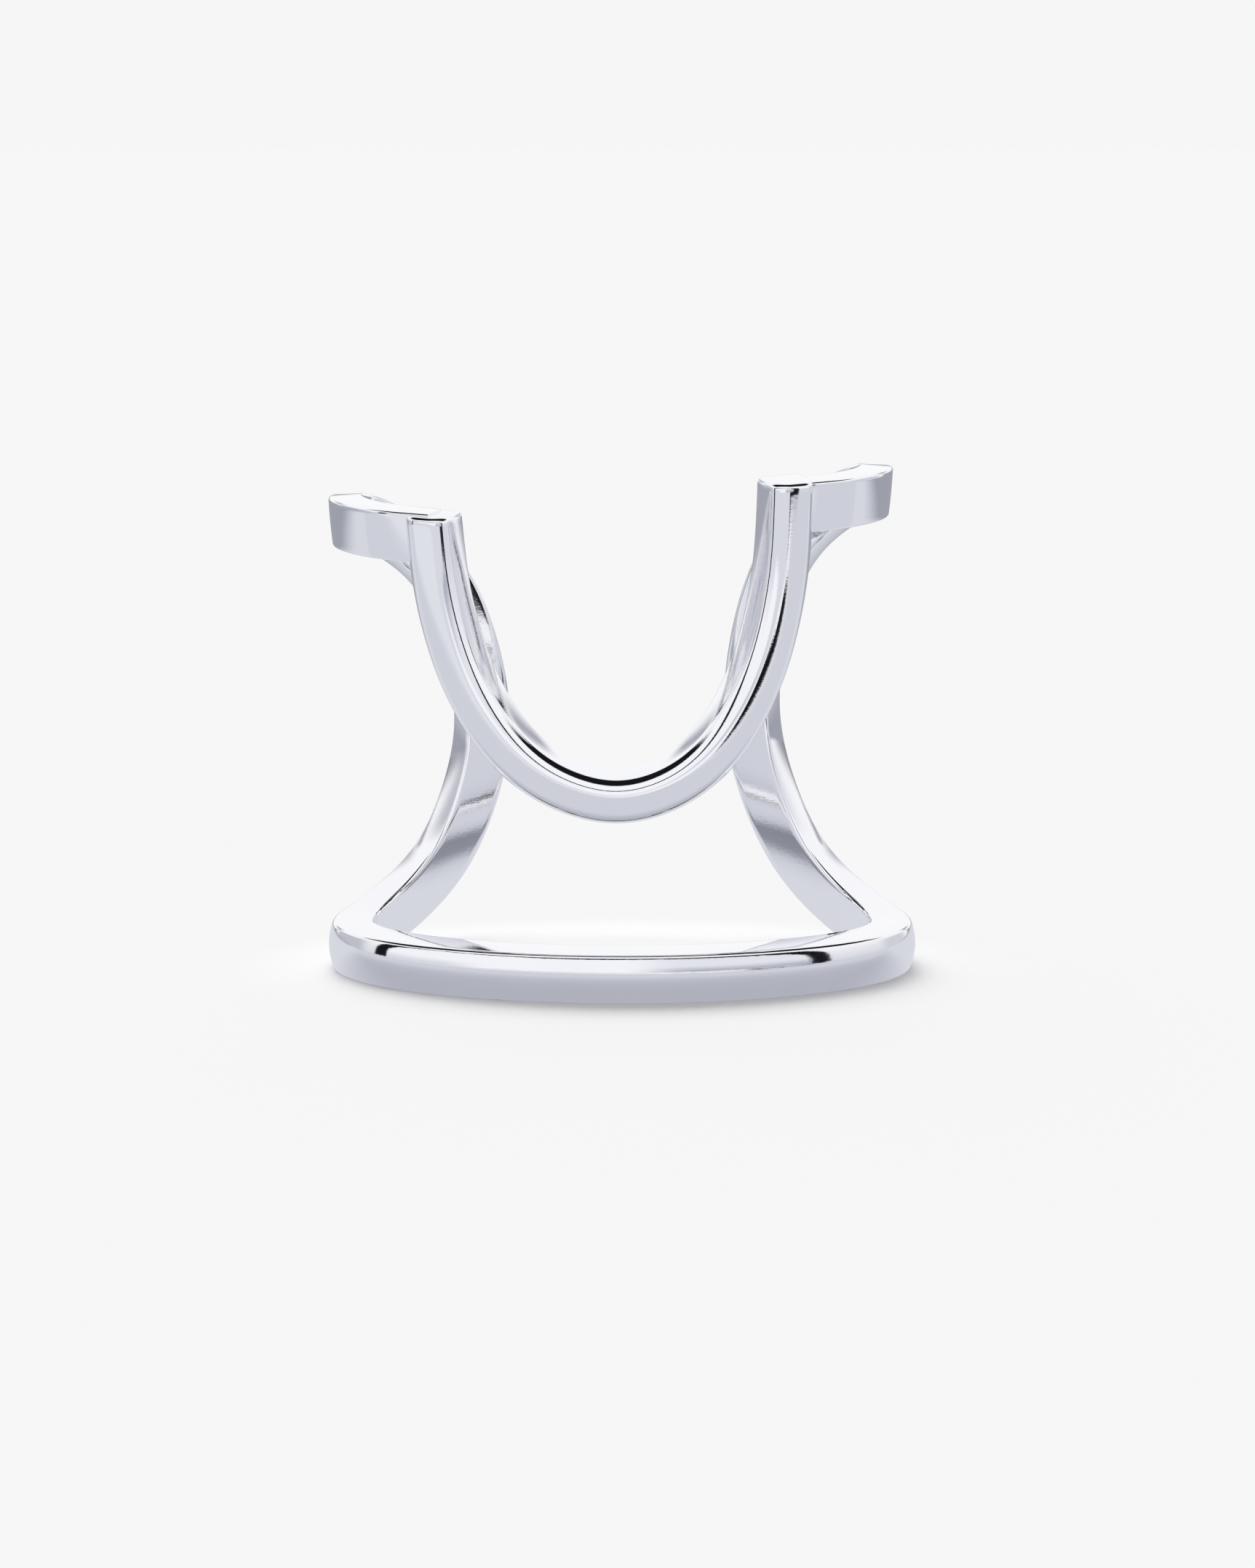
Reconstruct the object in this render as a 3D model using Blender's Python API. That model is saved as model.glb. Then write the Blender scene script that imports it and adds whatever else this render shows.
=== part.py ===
"""Nail ring: one band of polished silver. It stands on a bowed bar, runs round the back
of the finger on both sides, curls forward at the top into two short tabs, and closes
in a U, open at the top, that frames the nail.

The band follows an oval tube round the finger. +Z is up, along the finger. The bar and
the nail arch face -Y. The origin is on the resting plane, under the middle of the
ring's box.
"""

import math

import bmesh
import bpy
import numpy as np

MM = 0.001

# oval that the middle of the band follows, seen from above
OVAL_HALF_WIDTH = 8.26
OVAL_HALF_DEPTH = 4.0

# the band's section
BAND_WIDTH = 1.48
ARCH_WIDTH = 1.40
ARCH_THICKNESS = 1.32
INNER_ROUND = 0.12  # radius of the inner face's edges
# radius of the outer face's edges, and facets in each
SIDE_ROUND = (0.09, 2)
ARCH_ROUND = (0.42, 3)
ARCH_CROWN = 0.09  # how far the edges of the arch's outer face fall behind its middle
END_ROUND = 0.16  # softened rim of the arch's two ends
END_SLOPE = 0.12  # how steeply those ends rise towards the finger

ARCH_FOOT = 5.42  # height of the arch's lowest point above the bar's middle
ARM_RISE = 0.98  # how much higher the arch's right arm ends than its left one
TAB_RISE = 0.88  # how much higher the right tab stands than the left one
TOP_SHIFT = 0.33  # how far the tabs stand to the left of the bar's middle
TAB_HEIGHT = 13.0
FOOT_STATION = 4  # the bar stays level from the middle out to this station

FACE_STEPS = 4  # facets across the outer face
STEPS = 6  # facets from one station to the next

# Side of the ring, from the middle of the bar to the end of the tab, one row a station:
# angle round the finger from the front, height above the bar's middle, lift off the
# oval, lean (which turns the outer face down), thickness and crown (how far the edges
# of the outer face fall behind its middle)
SIDE = (
    # angle, height, lift, lean, thickness, crown
    (0.0, 0.00, -0.23, 0.0, 1.40, 0.15),
    (21.6, 0.00, -0.22, 0.0, 1.40, 0.15),
    (42.8, 0.00, -0.17, 0.0, 1.40, 0.15),
    (64.1, 0.00, -0.06, 0.0, 1.40, 0.15),
    (85.3, 0.00, 0.07, 0.0, 1.40, 0.15),
    (106.3, 0.11, 0.09, 0.0, 1.36, 0.13),
    (124.8, 0.83, 0.07, -3.0, 1.30, 0.10),
    (137.8, 2.20, 0.05, -7.0, 1.26, 0.07),
    (145.5, 4.12, 0.04, -9.0, 1.25, 0.05),
    (149.0, 6.34, 0.04, -8.0, 1.25, 0.04),
    (146.4, 8.86, 0.02, -5.0, 1.25, 0.04),
    (138.4, 11.07, 0.00, -4.0, 1.22, 0.04),
    (123.7, 12.43, -0.07, -3.0, 1.18, 0.03),
    (104.4, 13.01, -0.29, -4.0, 1.10, 0.02),
    (77.5, 13.08, -0.36, -4.5, 1.04, 0.015),
    (54.4, 13.03, -0.08, -5.0, 1.00, 0.01),
    (37.8, 12.97, 0.02, -4.0, 0.92, 0.01),
)

# Half of the nail arch, from its lowest point to the end of the arm, one row a station
ARCH = (
    # angle, height above the lowest point, lift, lean
    (0.0, 0.00, 0.05, 8.7),
    (10.7, 0.34, 0.05, 8.4),
    (19.6, 1.15, 0.04, 8.2),
    (26.7, 2.30, 0.02, 9.2),
    (32.0, 3.61, 0.01, 10.0),
    (35.6, 5.05, 0.01, 9.4),
    (37.7, 6.53, 0.01, 7.0),
    (38.7, 8.24, 0.02, 3.6),
)


def spline(rows, level_start=False):
    """Cubic spline through the rows, one knot a row, as a function of the knot number.
    Its ends are straight, or its start is level."""
    rows = np.asarray(rows, float)
    count = len(rows)
    system = np.zeros((count, count))
    right = np.zeros_like(rows)
    system[0, 0] = system[-1, -1] = 1
    if level_start:
        system[0, :2] = 2, 1
        right[0] = 6 * (rows[1] - rows[0])
    for i in range(1, count - 1):
        system[i, i - 1 : i + 2] = 1, 4, 1
        right[i] = 6 * (rows[i - 1] - 2 * rows[i] + rows[i + 1])
    bend = np.linalg.solve(system, right)

    def value(knots):
        i = np.clip(np.floor(knots).astype(int), 0, count - 2)
        t = knots - i
        s = 1 - t
        if rows.ndim == 2:
            t, s = t[:, None], s[:, None]
        bent = (s**3 - s) * bend[i] + (t**3 - t) * bend[i + 1]
        return s * rows[i] + t * rows[i + 1] + bent / 6

    return value


def on_oval(angle, lift):
    """Points of the oval, seen from above, and the directions straight out of it."""
    out = np.stack([np.sin(angle) / OVAL_HALF_WIDTH, -np.cos(angle) / OVAL_HALF_DEPTH], 1)
    out /= np.linalg.norm(out, axis=1)[:, None]
    at = np.stack([OVAL_HALF_WIDTH * np.sin(angle), -OVAL_HALF_DEPTH * np.cos(angle)], 1)
    return at + out * lift[:, None]


def both_sides(left, right):
    """Knots from the left end over the middle to the right end."""
    return np.concatenate([left[:0:-1], right])


def side_path():
    angle, height, lift, lean, thickness, crown = np.array(SIDE).T
    rise = TAB_RISE * (height / TAB_HEIGHT) ** 1.8
    plan = on_oval(np.radians(both_sides(-angle, angle)), both_sides(lift, lift))
    middle = len(SIDE) - 1
    knots = np.linspace(0, 2 * middle, 2 * middle * STEPS + 1)
    past_foot = np.maximum(np.abs(knots - middle) - FOOT_STATION, 0)
    left, right = (
        spline(values[FOOT_STATION:], level_start=True)(past_foot)
        for values in (height, height + rise)
    )
    z = np.where(past_foot == 0, 0, np.where(knots < middle, left, right))
    path = np.column_stack([spline(plan)(knots), z])
    path[:, 0] -= TOP_SHIFT * z / TAB_HEIGHT
    turn = np.radians(spline(both_sides(lean, lean))(knots))
    thick = spline(both_sides(thickness, thickness))(knots)
    return path, turn, thick, spline(both_sides(crown, crown))(knots)


def arch_path():
    angle, height, lift, lean = np.array(ARCH).T
    rise = ARM_RISE * height / height[-1]
    rows = np.column_stack(
        [
            on_oval(np.radians(both_sides(-angle, angle)), both_sides(lift, lift)),
            both_sides(height, height + rise) + ARCH_FOOT,
            np.radians(both_sides(lean, lean)),
        ]
    )
    knots = np.linspace(0, len(rows) - 1, (len(rows) - 1) * STEPS + 1)
    values = spline(rows)(knots)
    values[:, 0] -= TOP_SHIFT * values[:, 2] / TAB_HEIGHT
    even = np.ones(len(values))
    return values[:, :3], values[:, 3], ARCH_THICKNESS * even, ARCH_CROWN * even


def section(width, thickness, crown, rounding, inset=0.0):
    """The band's section as (across the band, outwards) points, one turn round."""
    half_width, half_thick = width / 2 - inset, thickness / 2 - inset
    outer_round, steps = rounding
    points = []
    corners = (
        (1, 1, outer_round),
        (-1, 1, outer_round),
        (-1, -1, INNER_ROUND),
        (1, -1, INNER_ROUND),
    )
    for corner, (across, outward, radius) in enumerate(corners):
        radius = max(radius - inset, 0.05)
        turn = [math.pi / 2 * i / steps for i in range(steps + 1)]
        if across * outward < 0:
            turn.reverse()
        for t in turn:
            points.append(
                (
                    across * (half_width - radius + radius * math.cos(t)),
                    outward * (half_thick - radius + radius * math.sin(t)),
                )
            )
        if corner == 0:
            # the outer face carries points of its own, so that it is round
            flat = half_width - radius
            for i in range(1, FACE_STEPS):
                points.append((flat * (1 - 2 * i / FACE_STEPS), half_thick))
    points = np.array(points)
    # the crown: the outer face falls from its middle towards its edges
    points[:, 1] -= np.where(points[:, 1] > 0, crown * (points[:, 0] / half_width) ** 2, 0)
    return points


def rings(path, lean, thickness, crown, width, rounding):
    """The path's directions and one closed ring of points at each of its points."""
    along = np.gradient(path, axis=0)
    along /= np.linalg.norm(along, axis=1)[:, None]
    middle = path[:, 0] + TOP_SHIFT * path[:, 2] / TAB_HEIGHT
    out = np.column_stack(
        [middle / OVAL_HALF_WIDTH**2, path[:, 1] / OVAL_HALF_DEPTH**2, 0 * lean]
    )
    out -= (out * along).sum(axis=1)[:, None] * along
    out /= np.linalg.norm(out, axis=1)[:, None]
    across = np.cross(along, out)
    turn = lean[:, None]
    out, across = (
        np.cos(turn) * out + np.sin(turn) * across,
        np.cos(turn) * across - np.sin(turn) * out,
    )

    def ring(i, inset=0.0):
        flat = section(width, thickness[i], crown[i], rounding, inset)
        return path[i] + flat[:, :1] * across[i] + flat[:, 1:] * out[i]

    return along, ring, np.array([ring(i) for i in range(len(path))])


def level_end(along, ring, i, top):
    """Rings of an arm's end, cut off level at the height top, with a softened rim."""
    done = []
    for t in (0, 1, 2):
        t = math.pi / 4 * t
        loop = ring(i, END_ROUND * (1 - math.cos(t)))
        inward = loop[:, 1] - loop[:, 1].mean()
        level = top + END_SLOPE * inward - END_ROUND * (1 - math.sin(t))
        reach = level - loop[:, 2]
        done.append(loop + along[i] * (reach / along[i][2])[:, None])
    return done


def side_rings():
    return rings(*side_path(), BAND_WIDTH, SIDE_ROUND)[2]


def arch_rings():
    along, ring, loops = rings(*arch_path(), ARCH_WIDTH, ARCH_ROUND)
    last, half = len(loops) - 1, len(loops) // 2
    left_top, right_top = loops[0][:, 2].mean(), loops[last][:, 2].mean()
    body = [
        loop
        for i, loop in enumerate(loops)
        if loop[:, 2].max() < (left_top if i < half else right_top) - END_ROUND - 0.12
    ]
    left = level_end(along, ring, 0, left_top)
    right = level_end(along, ring, last, right_top)
    return np.array(left[::-1] + body + right)


def mesh_of(name, loops):
    """Closed body through the rings, with flat ends."""
    body = bmesh.new()
    verts = [[body.verts.new(p * MM) for p in loop] for loop in loops]
    for first, second in zip(verts, verts[1:]):
        count = len(first)
        for i in range(count):
            j = (i + 1) % count
            body.faces.new((first[i], first[j], second[j], second[i]))
    body.faces.new(verts[0][::-1])
    body.faces.new(verts[-1])
    bmesh.ops.recalc_face_normals(body, faces=body.faces)
    mesh = bpy.data.meshes.new(name)
    body.to_mesh(mesh)
    body.free()
    mesh.shade_smooth()
    mesh.set_sharp_from_angle(angle=math.radians(40))
    thing = bpy.data.objects.new(name, mesh)
    bpy.context.scene.collection.objects.link(thing)
    return thing


def silver():
    material = bpy.data.materials.new("polished_silver")
    material.use_nodes = True
    surface = material.node_tree.nodes["Principled BSDF"]
    surface.inputs["Base Color"].default_value = (0.93, 0.93, 0.95, 1)
    surface.inputs["Metallic"].default_value = 1
    surface.inputs["Roughness"].default_value = 0.08
    return material


def build():
    for thing in list(bpy.data.objects):
        bpy.data.objects.remove(thing)
    side, arch = side_rings(), arch_rings()
    every = np.concatenate([side.reshape(-1, 3), arch.reshape(-1, 3)])
    low, high = every.min(axis=0), every.max(axis=0)
    origin = np.array([(low[0] + high[0]) / 2, (low[1] + high[1]) / 2, low[2]])
    ring = mesh_of("nail_ring", side - origin)
    ring.data.materials.append(silver())
    nail_arch = mesh_of("nail_arch", arch - origin)
    nail_arch.hide_render = True
    nail_arch.display_type = "WIRE"
    join = ring.modifiers.new("nail arch", "BOOLEAN")
    join.operation = "UNION"
    join.solver = "EXACT"
    join.object = nail_arch


build()
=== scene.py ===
"""Studio picture of the nail ring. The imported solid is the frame, and a finer, smooth
build of the same band replaces it. Lengths are in metres, with the band's own sizes in
millimetres times MM."""

import math

import bmesh
import bpy
import numpy as np
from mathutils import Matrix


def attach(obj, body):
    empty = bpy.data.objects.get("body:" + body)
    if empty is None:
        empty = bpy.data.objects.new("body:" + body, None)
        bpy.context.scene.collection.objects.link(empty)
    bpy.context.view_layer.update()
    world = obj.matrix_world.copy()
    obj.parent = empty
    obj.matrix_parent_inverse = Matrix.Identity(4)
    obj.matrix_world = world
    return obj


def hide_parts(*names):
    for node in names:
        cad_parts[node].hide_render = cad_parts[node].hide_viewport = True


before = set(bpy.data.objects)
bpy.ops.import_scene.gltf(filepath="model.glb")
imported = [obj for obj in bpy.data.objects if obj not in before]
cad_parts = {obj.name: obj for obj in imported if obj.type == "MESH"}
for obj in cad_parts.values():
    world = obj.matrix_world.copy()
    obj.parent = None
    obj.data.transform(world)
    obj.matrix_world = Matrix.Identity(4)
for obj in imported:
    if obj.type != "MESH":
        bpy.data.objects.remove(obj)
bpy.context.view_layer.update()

MM = 0.001

# ---------------------------------------------------------------- the band's sizes

OVAL_HALF_WIDTH = 8.26
OVAL_HALF_DEPTH = 4.0
BAND_WIDTH = 1.48
ARCH_WIDTH = 1.40
ARCH_THICKNESS = 1.32
INNER_ROUND = 0.12
SIDE_ROUND = 0.09
ARCH_ROUND = 0.42
ARCH_CROWN = 0.09
END_ROUND = 0.16
END_SLOPE = 0.12
ARCH_FOOT = 5.42
ARM_RISE = 0.98
TAB_RISE = 0.88
TOP_SHIFT = 0.33
TAB_HEIGHT = 13.0
FOOT_STATION = 4
SECTION_STEPS = 6
FACE_STEPS = 12
STEPS = 20

SIDE = (
    # angle, height, lift, lean, thickness, crown
    (0.0, 0.00, -0.23, 0.0, 1.40, 0.15),
    (21.6, 0.00, -0.22, 0.0, 1.40, 0.15),
    (42.8, 0.00, -0.17, 0.0, 1.40, 0.15),
    (64.1, 0.00, -0.06, 0.0, 1.40, 0.15),
    (85.3, 0.00, 0.07, 0.0, 1.40, 0.15),
    (106.3, 0.11, 0.09, 0.0, 1.36, 0.13),
    (124.8, 0.83, 0.07, -3.0, 1.30, 0.10),
    (137.8, 2.20, 0.05, -7.0, 1.26, 0.07),
    (145.5, 4.12, 0.04, -9.0, 1.25, 0.05),
    (149.0, 6.34, 0.04, -8.0, 1.25, 0.04),
    (146.4, 8.86, 0.02, -5.0, 1.25, 0.04),
    (138.4, 11.07, 0.00, -4.0, 1.22, 0.04),
    (123.7, 12.43, -0.07, -3.0, 1.18, 0.03),
    (104.4, 13.01, -0.29, -4.0, 1.10, 0.02),
    (77.5, 13.08, -0.36, -4.5, 1.04, 0.015),
    (54.4, 13.03, -0.08, -5.0, 1.00, 0.01),
    (37.8, 12.97, 0.02, -4.0, 0.92, 0.01),
)

ARCH = (
    # angle, height above the lowest point, lift, lean
    (0.0, 0.00, 0.05, 8.7),
    (10.7, 0.34, 0.05, 8.4),
    (19.6, 1.15, 0.04, 8.2),
    (26.7, 2.30, 0.02, 9.2),
    (32.0, 3.61, 0.01, 10.0),
    (35.6, 5.05, 0.01, 9.4),
    (37.7, 6.53, 0.01, 7.0),
    (38.7, 8.24, 0.02, 3.6),
)


def spline(rows, level_start=False):
    """Cubic spline through the rows, one knot a row, as a function of the knot number."""
    rows = np.asarray(rows, float)
    count = len(rows)
    system = np.zeros((count, count))
    right = np.zeros_like(rows)
    system[0, 0] = system[-1, -1] = 1
    if level_start:
        system[0, :2] = 2, 1
        right[0] = 6 * (rows[1] - rows[0])
    for i in range(1, count - 1):
        system[i, i - 1 : i + 2] = 1, 4, 1
        right[i] = 6 * (rows[i - 1] - 2 * rows[i] + rows[i + 1])
    bend = np.linalg.solve(system, right)

    def value(knots):
        i = np.clip(np.floor(knots).astype(int), 0, count - 2)
        t = knots - i
        s = 1 - t
        if rows.ndim == 2:
            t, s = t[:, None], s[:, None]
        bent = (s**3 - s) * bend[i] + (t**3 - t) * bend[i + 1]
        return s * rows[i] + t * rows[i + 1] + bent / 6

    return value


def on_oval(angle, lift):
    """Points of the oval, seen from above, moved straight out of it by the lift."""
    out = np.stack([np.sin(angle) / OVAL_HALF_WIDTH, -np.cos(angle) / OVAL_HALF_DEPTH], 1)
    out /= np.linalg.norm(out, axis=1)[:, None]
    at = np.stack([OVAL_HALF_WIDTH * np.sin(angle), -OVAL_HALF_DEPTH * np.cos(angle)], 1)
    return at + out * lift[:, None]


def both_sides(left, right):
    """Knots from the left end over the middle to the right end."""
    return np.concatenate([left[:0:-1], right])


def side_path():
    angle, height, lift, lean, thickness, crown = np.array(SIDE).T
    rise = TAB_RISE * (height / TAB_HEIGHT) ** 1.8
    plan = on_oval(np.radians(both_sides(-angle, angle)), both_sides(lift, lift))
    middle = len(SIDE) - 1
    knots = np.linspace(0, 2 * middle, 2 * middle * STEPS + 1)
    past_foot = np.maximum(np.abs(knots - middle) - FOOT_STATION, 0)
    left, right = (
        spline(values[FOOT_STATION:], level_start=True)(past_foot)
        for values in (height, height + rise)
    )
    z = np.where(past_foot == 0, 0, np.where(knots < middle, left, right))
    path = np.column_stack([spline(plan)(knots), z])
    path[:, 0] -= TOP_SHIFT * z / TAB_HEIGHT
    turn = np.radians(spline(both_sides(lean, lean))(knots))
    thick = spline(both_sides(thickness, thickness))(knots)
    return path, turn, thick, spline(both_sides(crown, crown))(knots)


def arch_path():
    angle, height, lift, lean = np.array(ARCH).T
    rise = ARM_RISE * height / height[-1]
    rows = np.column_stack(
        [
            on_oval(np.radians(both_sides(-angle, angle)), both_sides(lift, lift)),
            both_sides(height, height + rise) + ARCH_FOOT,
            np.radians(both_sides(lean, lean)),
        ]
    )
    knots = np.linspace(0, len(rows) - 1, (len(rows) - 1) * STEPS + 1)
    values = spline(rows)(knots)
    values[:, 0] -= TOP_SHIFT * values[:, 2] / TAB_HEIGHT
    even = np.ones(len(values))
    return values[:, :3], values[:, 3], ARCH_THICKNESS * even, ARCH_CROWN * even


def section(width, thickness, crown, outer_round, inset=0.0):
    """The band's section as (across the band, outwards) points, one turn round."""
    half_width, half_thick = width / 2 - inset, thickness / 2 - inset
    points = []
    corners = (
        (1, 1, outer_round),
        (-1, 1, outer_round),
        (-1, -1, INNER_ROUND),
        (1, -1, INNER_ROUND),
    )
    for corner, (across, outward, radius) in enumerate(corners):
        radius = max(radius - inset, 0.05)
        turn = [math.pi / 2 * i / SECTION_STEPS for i in range(SECTION_STEPS + 1)]
        if across * outward < 0:
            turn.reverse()
        for t in turn:
            points.append(
                (
                    across * (half_width - radius + radius * math.cos(t)),
                    outward * (half_thick - radius + radius * math.sin(t)),
                )
            )
        if corner in (0, 2):
            # the wide faces carry points of their own, so that the crown is round
            flat = half_width - radius
            for i in range(1, FACE_STEPS):
                points.append(
                    (across * flat * (1 - 2 * i / FACE_STEPS), outward * half_thick)
                )
    points = np.array(points)
    # the crown: the outer face falls from its middle towards its edges
    points[:, 1] -= np.where(points[:, 1] > 0, crown * (points[:, 0] / half_width) ** 2, 0)
    return points


def rings(path, lean, thickness, crown, width, outer_round):
    """The path's directions and one closed ring of points at each of its points."""
    along = np.gradient(path, axis=0)
    along /= np.linalg.norm(along, axis=1)[:, None]
    middle = path[:, 0] + TOP_SHIFT * path[:, 2] / TAB_HEIGHT
    out = np.column_stack(
        [middle / OVAL_HALF_WIDTH**2, path[:, 1] / OVAL_HALF_DEPTH**2, 0 * lean]
    )
    out -= (out * along).sum(axis=1)[:, None] * along
    out /= np.linalg.norm(out, axis=1)[:, None]
    across = np.cross(along, out)
    turn = lean[:, None]
    out, across = (
        np.cos(turn) * out + np.sin(turn) * across,
        np.cos(turn) * across - np.sin(turn) * out,
    )

    def ring(i, inset=0.0):
        flat = section(width, thickness[i], crown[i], outer_round, inset)
        return path[i] + flat[:, :1] * across[i] + flat[:, 1:] * out[i]

    return along, ring, np.array([ring(i) for i in range(len(path))])


def level_end(along, ring, i, top):
    """Rings of an arm's end, cut off level at the height top, with a softened rim."""
    done = []
    for step in range(7):
        t = math.pi / 2 * step / 6
        loop = ring(i, END_ROUND * (1 - math.cos(t)))
        inward = loop[:, 1] - loop[:, 1].mean()
        level = top + END_SLOPE * inward - END_ROUND * (1 - math.sin(t))
        reach = level - loop[:, 2]
        done.append(loop + along[i] * (reach / along[i][2])[:, None])
    return done


def side_rings():
    return rings(*side_path(), BAND_WIDTH, SIDE_ROUND)[2]


def arch_rings():
    along, ring, loops = rings(*arch_path(), ARCH_WIDTH, ARCH_ROUND)
    last, half = len(loops) - 1, len(loops) // 2
    left_top, right_top = loops[0][:, 2].mean(), loops[last][:, 2].mean()
    body = [
        loop
        for i, loop in enumerate(loops)
        if loop[:, 2].max() < (left_top if i < half else right_top) - END_ROUND - 0.12
    ]
    left = level_end(along, ring, 0, left_top)
    right = level_end(along, ring, last, right_top)
    return np.array(left[::-1] + body + right)


def mesh_of(name, loops):
    """Closed body through the rings, with flat ends."""
    body = bmesh.new()
    verts = [[body.verts.new(p * MM) for p in loop] for loop in loops]
    for first, second in zip(verts, verts[1:]):
        count = len(first)
        for i in range(count):
            j = (i + 1) % count
            body.faces.new((first[i], first[j], second[j], second[i]))
    body.faces.new(verts[0][::-1])
    body.faces.new(verts[-1])
    bmesh.ops.recalc_face_normals(body, faces=body.faces)
    mesh = bpy.data.meshes.new(name)
    body.to_mesh(mesh)
    body.free()
    thing = bpy.data.objects.new(name, mesh)
    bpy.context.scene.collection.objects.link(thing)
    return thing


def band():
    """The whole ring as one mesh."""
    side, arch = side_rings(), arch_rings()
    every = np.concatenate([side.reshape(-1, 3), arch.reshape(-1, 3)])
    low, high = every.min(axis=0), every.max(axis=0)
    origin = np.array([(low[0] + high[0]) / 2, (low[1] + high[1]) / 2, low[2]])
    ring = mesh_of("ring_side", side - origin)
    nail_arch = mesh_of("ring_arch", arch - origin)
    join = ring.modifiers.new("nail arch", "BOOLEAN")
    join.operation = "UNION"
    join.solver = "EXACT"
    join.object = nail_arch
    graph = bpy.context.evaluated_depsgraph_get()
    mesh = bpy.data.meshes.new_from_object(ring.evaluated_get(graph))
    bpy.data.objects.remove(ring)
    bpy.data.objects.remove(nail_arch)
    mesh.name = "polished_band"
    mesh.shade_smooth()
    mesh.set_sharp_from_angle(angle=math.radians(35))
    thing = bpy.data.objects.new("polished_band", mesh)
    bpy.context.scene.collection.objects.link(thing)
    return thing


# ---------------------------------------------------------------- materials


class Net:
    """Short calls for making nodes and joining them."""

    def __init__(self, tree):
        self.tree = tree

    def node(self, kind, **settings):
        made = self.tree.nodes.new(kind)
        for name, value in settings.items():
            setattr(made, name, value)
        return made

    def put(self, socket, value):
        if isinstance(value, bpy.types.NodeSocket):
            self.tree.links.new(value, socket)
        else:
            socket.default_value = value

    def math(self, operation, *values, clamp=False):
        made = self.node("ShaderNodeMath", operation=operation, use_clamp=clamp)
        for socket, value in zip(made.inputs, values):
            self.put(socket, value)
        return made.outputs[0]

    def smooth(self, value, start, end):
        """0 at start, 1 at end, with soft shoulders."""
        made = self.node("ShaderNodeMapRange", interpolation_type="SMOOTHSTEP")
        for name, given in (("Value", value), ("From Min", start), ("From Max", end)):
            self.put(made.inputs[name], given)
        return made.outputs["Result"]

    def mix(self, factor, a, b):
        made = self.node("ShaderNodeMix", data_type="RGBA")
        self.put(made.inputs["Factor"], factor)
        colours = [s for s in made.inputs if s.type == "RGBA"]
        for socket, value in zip(colours, (a, b)):
            self.put(socket, value)
        return next(s for s in made.outputs if s.type == "RGBA")


def silver():
    material = bpy.data.materials.new("polished_silver")
    material.use_nodes = True
    net = Net(material.node_tree)
    surface = material.node_tree.nodes["Principled BSDF"]
    surface.inputs["Metallic"].default_value = 1
    place = net.node("ShaderNodeTexCoord").outputs["Object"]

    def noise(scale, detail, stretch=(1, 1, 1)):
        mapping = net.node("ShaderNodeMapping")
        net.put(mapping.inputs["Vector"], place)
        mapping.inputs["Scale"].default_value = stretch
        made = net.node("ShaderNodeTexNoise")
        net.put(made.inputs["Vector"], mapping.outputs[0])
        made.inputs["Scale"].default_value = scale
        made.inputs["Detail"].default_value = detail
        return made.outputs[0]

    cloud = noise(420, 3)  # patches of slightly different polish, about 2 mm
    grain = noise(9000, 2)  # polishing grain, about 0.1 mm
    hair = noise(2600, 4, (1, 1, 14))  # hairlines left by wiping

    tint = net.mix(cloud, (0.90, 0.905, 0.935, 1), (0.94, 0.94, 0.955, 1))
    net.put(surface.inputs["Base Color"], tint)
    haze = net.smooth(cloud, 0.3, 0.75)
    rough = net.math("MULTIPLY_ADD", haze, 0.025, 0.03)
    rough = net.math("MULTIPLY_ADD", grain, 0.02, rough)
    net.put(surface.inputs["Roughness"], rough)

    relief = net.math("MULTIPLY_ADD", grain, 0.35, cloud)
    relief = net.math("MULTIPLY_ADD", hair, 0.25, relief)
    bump = net.node("ShaderNodeBump")
    bump.inputs["Strength"].default_value = 0.35
    bump.inputs["Distance"].default_value = 0.004 * MM
    net.put(bump.inputs["Height"], relief)
    net.put(surface.inputs["Normal"], bump.outputs[0])
    return material


FLOOR_TONE = 0.922


def paper():
    material = bpy.data.materials.new("pale_paper")
    material.use_nodes = True
    surface = material.node_tree.nodes["Principled BSDF"]
    # painted light: most of the floor glows evenly though it is no lamp, which fills in
    # the ring's shadows there; near the bar's foot it takes its light from the studio, and
    # so the bar's shadow
    net = Net(material.node_tree)
    place = net.node("ShaderNodeTexCoord").outputs["Object"]
    split = net.node("ShaderNodeSeparateXYZ")
    net.put(split.inputs[0], place)
    x, y, z = split.outputs
    squares = net.math("MULTIPLY", net.math("MULTIPLY", x, x), 0.25)
    reach = net.math("SQRT", net.math("MULTIPLY_ADD", y, y, squares))
    near = net.math(
        "MULTIPLY",
        net.smooth(reach, 3.2 * MM, 4.2 * MM),
        net.smooth(reach, 6.3 * MM, 4.6 * MM),
    )
    lit = net.math("MULTIPLY_ADD", near, FLOOR_TONE * 0.86, FLOOR_TONE * 0.08)
    net.put(surface.inputs["Base Color"], lit)
    surface.inputs["Emission Color"].default_value = (1, 1, 1, 1)
    net.put(surface.inputs["Emission Strength"], net.math("SUBTRACT", FLOOR_TONE, lit))
    surface.inputs["Roughness"].default_value = 1
    surface.inputs["Specular IOR Level"].default_value = 0
    return material


# ---------------------------------------------------------------- the studio

BACKDROP = 0.922
WHITE = (0.97, 0.97, 1.0)
BLACK = (0.008, 0.008, 0.012)


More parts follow.
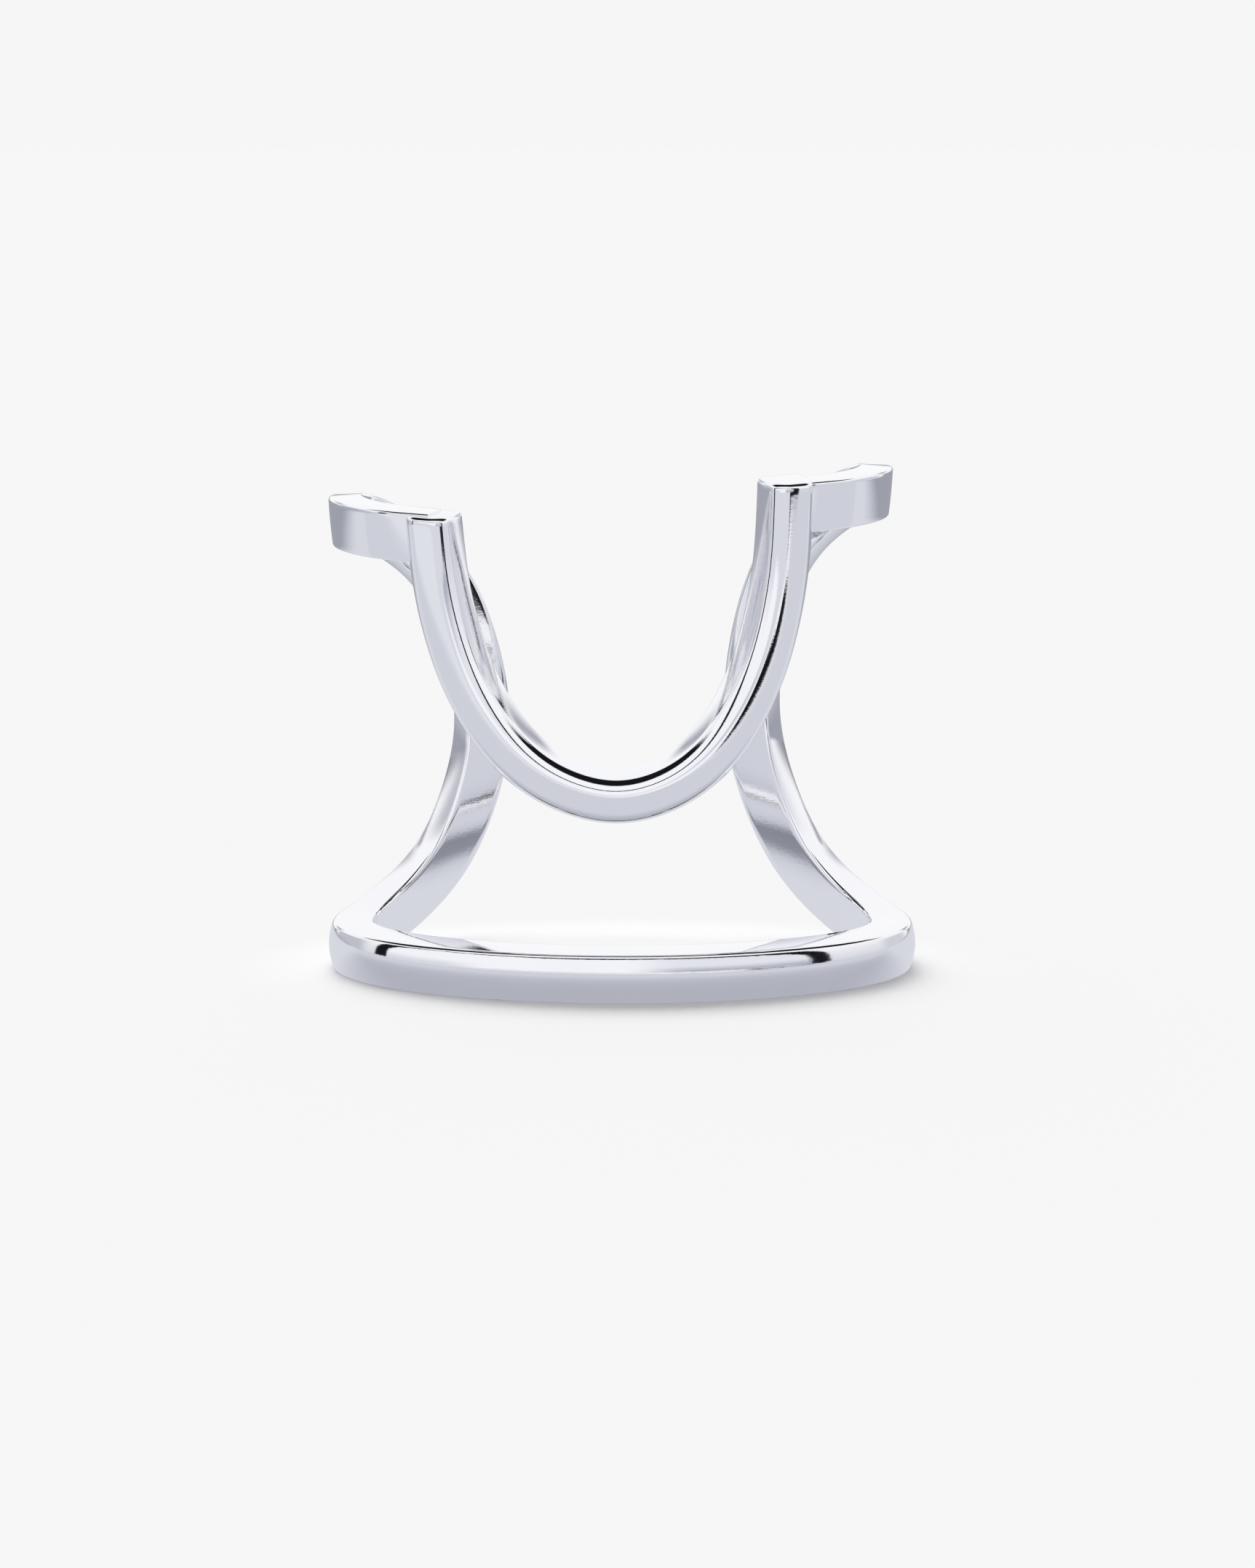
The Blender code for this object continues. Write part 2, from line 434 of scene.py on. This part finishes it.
def studio():
    """Light tent round the ring, as a world: a wide white window in front with a dark
    frame, a dark slot across the roof, grey sides and a white back with grey bands."""
    world = bpy.data.worlds.new("light_tent")
    bpy.context.scene.world = world
    world.use_nodes = True
    net = Net(world.node_tree)
    tent = world.node_tree.nodes["Background"]
    toward = net.node("ShaderNodeTexCoord").outputs["Generated"]
    split = net.node("ShaderNodeSeparateXYZ")
    net.put(split.inputs[0], toward)
    x, y, z = split.outputs
    front = net.math("MULTIPLY", y, -1.0)
    # degrees above the horizon, round from the front to the right, and over the roof
    # from the front to the back
    degrees = 180 / math.pi
    elevation = net.math("MULTIPLY", net.math("ARCSINE", z), degrees)
    azimuth = net.math("MULTIPLY", net.math("ARCTAN2", x, front), degrees)
    over = net.math("MULTIPLY", net.math("ARCTAN2", z, front), degrees)
    aside = net.math("ABSOLUTE", azimuth)

    ramp = net.node("ShaderNodeValToRGB")
    net.put(ramp.inputs[0], net.math("MULTIPLY_ADD", elevation, 1 / 180, 0.5))
    tones = (
        # elevation, red, green, blue
        (-90, 0.50, 0.51, 0.56),
        (-45, 0.55, 0.56, 0.62),
        (-12, 0.61, 0.62, 0.68),
        (0, 0.72, 0.73, 0.78),
        (9, 0.84, 0.84, 0.88),
        (22, 0.98, 0.98, 1.00),
        (90, 1.02, 1.02, 1.03),
    )
    stops = ramp.color_ramp.elements
    while len(stops) < len(tones):
        stops.new(0.5)
    for stop, (at, *tone) in zip(stops, tones):
        stop.position = at / 180 + 0.5
        stop.color = (*tone, 1)
    colour = ramp.outputs[0]

    def between(value, low, high, soft):
        return net.math(
            "MULTIPLY",
            net.smooth(value, low - soft, low + soft),
            net.smooth(value, high + soft, high - soft),
        )

    def panel(under, tone, round_by, az, el, soft=4.0):
        """Lays a soft-edged panel of one tone over what is there."""
        cover = net.math(
            "MULTIPLY", between(round_by, *az, soft), between(elevation, *el, soft)
        )
        return net.mix(cover, under, (*tone, 1))

    # white wall behind the ring, grey sides, and a grey band low on the back wall
    colour = panel(colour, (1.0, 1.0, 1.01), aside, (122, 200), (-12, 80), 6)
    colour = panel(colour, (0.55, 0.56, 0.61), azimuth, (-124, -84), (-9, 17), 6)
    colour = panel(colour, (0.66, 0.67, 0.72), azimuth, (88, 116), (-9, 15), 6)
    colour = panel(colour, (0.40, 0.41, 0.46), aside, (132, 153), (19, 28), 5)
    colour = panel(colour, (0.36, 0.37, 0.42), aside, (128, 200), (-12, 3), 5)
    colour = panel(colour, (0.38, 0.39, 0.44), azimuth, (-134, -98), (-14, 0), 4)
    # dark upright edge between side and back, bent outwards near the ground
    bend = net.math("MULTIPLY", net.math("SUBTRACT", 20.0, elevation), 1 / 26)
    bend = net.math("MULTIPLY", net.math("MULTIPLY", bend, bend), 8.0)
    edge = net.math("SUBTRACT", net.math("SUBTRACT", aside, 129.5), bend)
    colour = panel(colour, (0.26, 0.26, 0.29), edge, (-1.0, 1.2), (-8, 22), 1.6)

    # the front window, with round upper corners, and its frame
    def inside(middle, half_width, half_height, power, soft):
        across = net.math("DIVIDE", net.math("SUBTRACT", azimuth, middle), half_width)
        up = net.math("DIVIDE", net.math("MAXIMUM", elevation, 0.0), half_height)
        far = net.math(
            "ADD",
            net.math("POWER", net.math("ABSOLUTE", across), power),
            net.math("POWER", up, power),
        )
        return net.smooth(far, 1 + soft, 1 - soft)

    standing = net.smooth(elevation, -10.0, -7.0)
    colour = net.mix(
        net.math("MULTIPLY", inside(-10.5, 63.5, 31.5, 4.0, 0.05), standing),
        colour,
        (*BLACK, 1),
    )
    pane = net.mix(
        net.smooth(azimuth, 0.0, 12.0), (*WHITE, 1), (0.82, 0.83, 0.88, 1)
    )
    # the pane greys towards the ground, except in its middle
    low = net.math(
        "MULTIPLY",
        net.smooth(elevation, 11.0, 0.0),
        net.smooth(net.math("ABSOLUTE", net.math("ADD", azimuth, 14.0)), 14.0, 30.0),
    )
    shade = net.mix(
        net.smooth(azimuth, -5.0, 10.0), (0.72, 0.73, 0.78, 1), (0.44, 0.45, 0.51, 1)
    )
    pane = net.mix(low, pane, shade)
    ground = net.smooth(elevation, 1.0, -1.0)
    pane = net.mix(ground, pane, (0.72, 0.73, 0.79, 1))
    clear = net.math("MULTIPLY", inside(-10.5, 56.0, 26.0, 4.0, 0.05), standing)
    # below the horizon the frame's right leg is wider
    leg = net.math(
        "MULTIPLY", net.smooth(elevation, 0.0, -1.5), net.smooth(azimuth, 32.0, 37.0)
    )
    clear = net.math("MULTIPLY", clear, net.math("SUBTRACT", 1.0, leg))
    colour = net.mix(clear, colour, pane)

    # dark slot across the roof
    slot = net.math(
        "MULTIPLY", between(over, 66.0, 112.0, 3.0), net.smooth(elevation, 36.0, 46.0)
    )
    colour = net.mix(slot, colour, (*BLACK, 1))

    net.put(tent.inputs["Color"], colour)
    # the camera and the floor see plain, even white
    plain = net.node("ShaderNodeBackground")
    plain.inputs["Color"].default_value = (BACKDROP, BACKDROP, BACKDROP, 1)
    # for the floor, 0.15 all round and the rest in a lobe from high behind on the left;
    # the mean over a level surface is 1
    lobe = net.math("MULTIPLY", x, -0.16)
    lobe = net.math("MULTIPLY_ADD", y, 0.44, lobe)
    lobe = net.math("MULTIPLY_ADD", z, 0.883, lobe)
    lobe = net.math("POWER", net.math("MAXIMUM", lobe, 0.0), 10.0)
    even = net.node("ShaderNodeBackground")
    even.inputs["Color"].default_value = (1, 1, 1, 1)
    net.put(even.inputs["Strength"], net.math("MULTIPLY_ADD", lobe, 5.77, 0.15))
    path = net.node("ShaderNodeLightPath")
    shown = tent.outputs[0]
    for name, other in (("Is Diffuse Ray", even), ("Is Camera Ray", plain)):
        both = net.node("ShaderNodeMixShader")
        net.put(both.inputs[0], path.outputs[name])
        net.put(both.inputs[1], shown)
        net.put(both.inputs[2], other.outputs[0])
        shown = both.outputs[0]
    output = next(n for n in world.node_tree.nodes if n.type == "OUTPUT_WORLD")
    net.put(output.inputs["Surface"], shown)


def sheet_of(name, left, right, front, back, height):
    mesh = bpy.data.meshes.new(name)
    mesh.from_pydata(
        [
            (left, front, height),
            (right, front, height),
            (right, back, height),
            (left, back, height),
        ],
        [],
        [(0, 1, 2, 3)],
    )
    thing = bpy.data.objects.new(name, mesh)
    bpy.context.scene.collection.objects.link(thing)
    return thing


def painted_table_reflection():
    """Painted reflection: a glowing grey sheet standing in for a table top, which only the
    metal's reflections see.
    """
    material = bpy.data.materials.new("table_glow")
    material.use_nodes = True
    net = Net(material.node_tree)
    material.node_tree.nodes.remove(material.node_tree.nodes["Principled BSDF"])
    place = net.node("ShaderNodeTexCoord").outputs["Object"]
    split = net.node("ShaderNodeSeparateXYZ")
    net.put(split.inputs[0], place)
    x, y, z = split.outputs
    # distance from the middle, measured so that the bar's foot lies at about 4.5 mm
    squares = net.math("MULTIPLY", net.math("MULTIPLY", x, x), 0.25)
    squares = net.math("MULTIPLY_ADD", y, y, squares)
    reach = net.math("SQRT", squares)
    # painted shade: the sheet is darker near the ring's foot and lighter farther out
    tone = net.mix(
        net.smooth(reach, 4 * MM, 11 * MM), (0.46, 0.47, 0.53, 1), (0.66, 0.67, 0.73, 1)
    )
    tone = net.mix(net.smooth(y, -3 * MM, 0.0), tone, (0.72, 0.73, 0.78, 1))
    # painted shade inside the ring: dark just behind the bar, then lighter
    within = net.smooth(net.math("ABSOLUTE", x), 5.0 * MM, 4.2 * MM)
    behind = net.math(
        "MULTIPLY",
        net.smooth(y, -3.4 * MM, -3.0 * MM),
        net.smooth(y, -1.1 * MM, -2.2 * MM),
    )
    behind = net.math("MULTIPLY", behind, within)
    tone = net.mix(behind, tone, (0.27, 0.28, 0.32, 1))
    tone = net.mix(net.smooth(y, 9 * MM, 45 * MM), tone, (0.36, 0.37, 0.42, 1))
    tone = net.mix(net.smooth(x, -92 * MM, -120 * MM), tone, (0.44, 0.45, 0.50, 1))
    # how far a place lies in front of a line that is straight on the left and bowed
    # towards the camera on the right; beyond it the table is white, and black on the
    # right from about 30 degrees off the middle
    right = net.math("MAXIMUM", net.math("SUBTRACT", x, 21 * MM), 0.0)
    bow = net.math("MULTIPLY", net.math("MULTIPLY", right, right), 0.0105 / MM)
    beyond = net.math("SUBTRACT", net.math("MULTIPLY", y, -1.0), 29.0 * MM)
    beyond = net.math("SUBTRACT", beyond, bow)
    pale = net.mix(
        net.smooth(x, -10 * MM, 10 * MM), (0.79, 0.80, 0.84, 1), (*WHITE, 1)
    )
    tone = net.mix(net.smooth(beyond, -6 * MM, 6 * MM), tone, pale)
    strip = net.math(
        "MULTIPLY",
        net.smooth(beyond, -0.5 * MM, 1.0 * MM),
        net.smooth(net.math("MULTIPLY_ADD", y, 0.55, x), -2.0 * MM, 2.0 * MM),
    )
    # far out on the right only from about 45 degrees off the middle
    aslant = net.smooth(net.math("ADD", x, y), -6.0 * MM, -3.0 * MM)
    aslant = net.math("MAXIMUM", aslant, net.smooth(x, 51 * MM, 47 * MM))
    strip = net.math("MULTIPLY", strip, aslant)
    strip = net.math("MULTIPLY", strip, net.smooth(x, 76 * MM, 70 * MM))
    strip = net.math("MULTIPLY", strip, net.smooth(y, -84 * MM, -76 * MM))
    tone = net.mix(strip, tone, (*BLACK, 1))
    glow = net.node("ShaderNodeEmission")
    net.put(glow.inputs["Color"], tone)
    output = next(n for n in material.node_tree.nodes if n.type == "OUTPUT_MATERIAL")
    net.put(output.inputs["Surface"], glow.outputs[0])
    thing = sheet_of("painted_table_reflection", -120 * MM, 120 * MM, -110 * MM, 150 * MM, -0.02 * MM)
    thing.data.materials.append(material)
    thing.visible_camera = False
    thing.visible_diffuse = False
    thing.visible_shadow = False


def floor():
    thing = sheet_of("floor", -400.0, 400.0, -400.0, 400.0, 0.0)
    thing.data.materials.append(paper())
    thing.visible_glossy = False


CAM_X, CAM_Y, CAM_Z = 0.1665, -89.152, 24.721


def camera():
    data = bpy.data.cameras.new("camera")
    data.sensor_fit = "HORIZONTAL"
    data.sensor_width = 36
    data.lens = 36 * 4116 / 1725
    data.clip_start = 0.01
    data.clip_end = 1000
    thing = bpy.data.objects.new("camera", data)
    bpy.context.scene.collection.objects.link(thing)
    thing.location = (CAM_X * MM, CAM_Y * MM, CAM_Z * MM)
    thing.rotation_euler = (math.radians(90 - 12.0), 0, 0)
    bpy.context.scene.camera = thing


camera()
ring = band()
ring.data.materials.clear()
ring.data.materials.append(silver())
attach(ring, "root")
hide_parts("nail_ring")
floor()
painted_table_reflection()
studio()

scene = bpy.context.scene
scene.view_settings.view_transform = "Standard"
scene.view_settings.look = "None"
